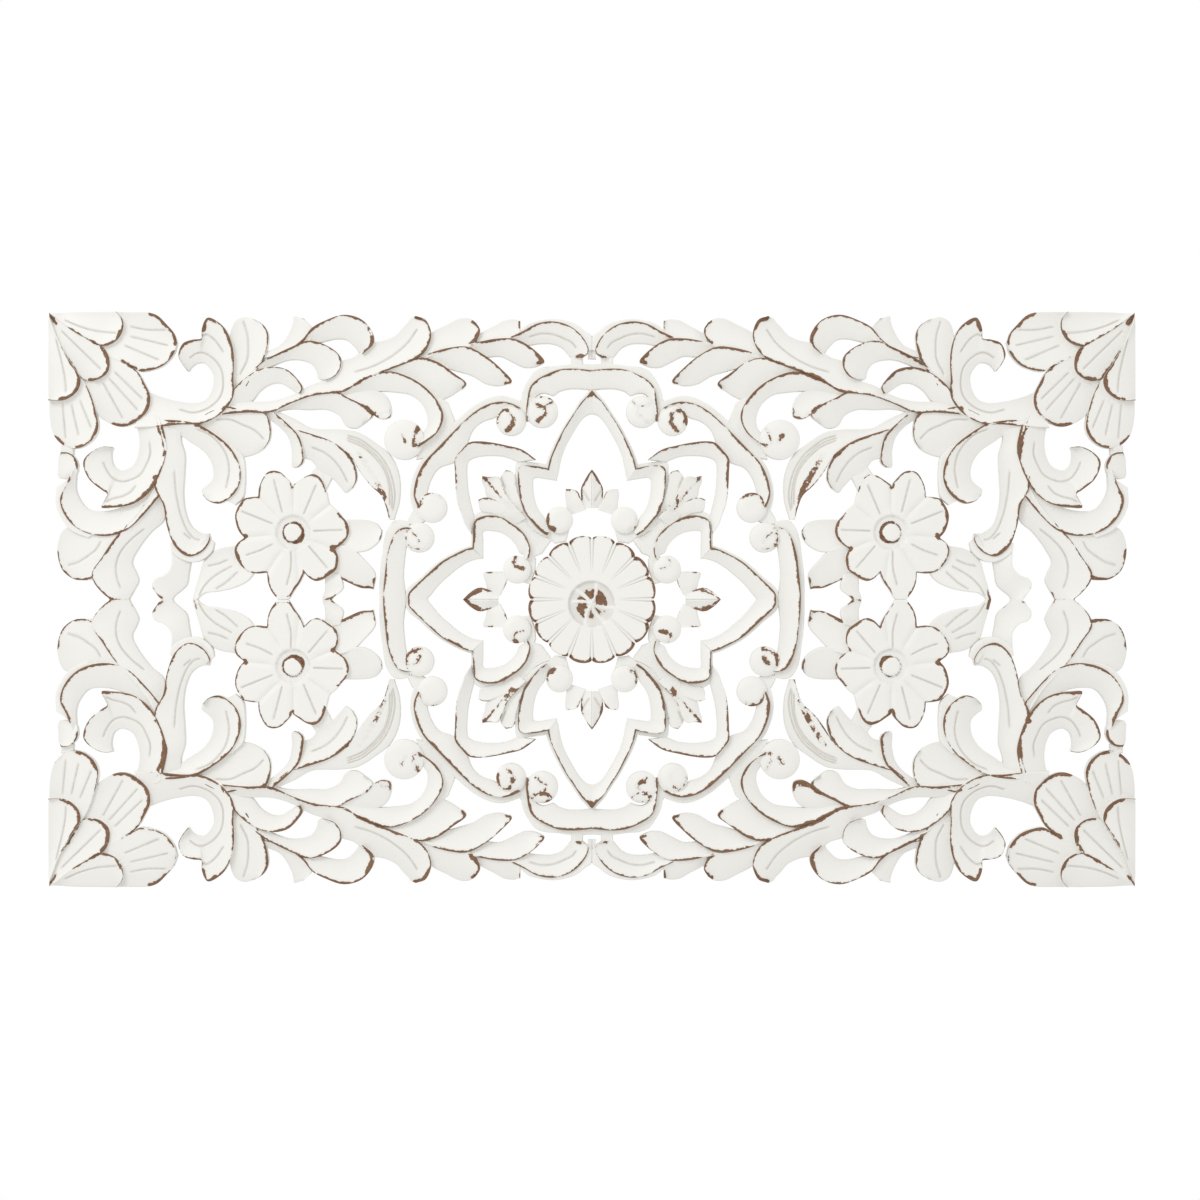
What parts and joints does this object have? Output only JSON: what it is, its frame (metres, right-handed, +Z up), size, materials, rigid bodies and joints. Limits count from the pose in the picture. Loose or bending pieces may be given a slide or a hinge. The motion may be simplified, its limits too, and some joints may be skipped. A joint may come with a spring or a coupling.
{
  "type": "carved wall panel",
  "caption": "Long rectangular openwork wall panel, carved in relief with mirrored leaf scrolls, flowers, a cusped star and a central rosette; flat back.",
  "frame": {"origin": "middle of the flat back face, behind the rosette", "axes": "+Z up as hung, +X to the right along the length, carved face looks along -Y, back face at y = 0"},
  "size_m": [1.1978, 0.018, 0.6346],
  "materials": {
    "painted_wood": "brown board painted matt white, rubbed through to bare brown along the carved edges"
  },
  "bodies": {
    "root": {"carved_panel": "painted_wood"}
  },
  "joints": []
}
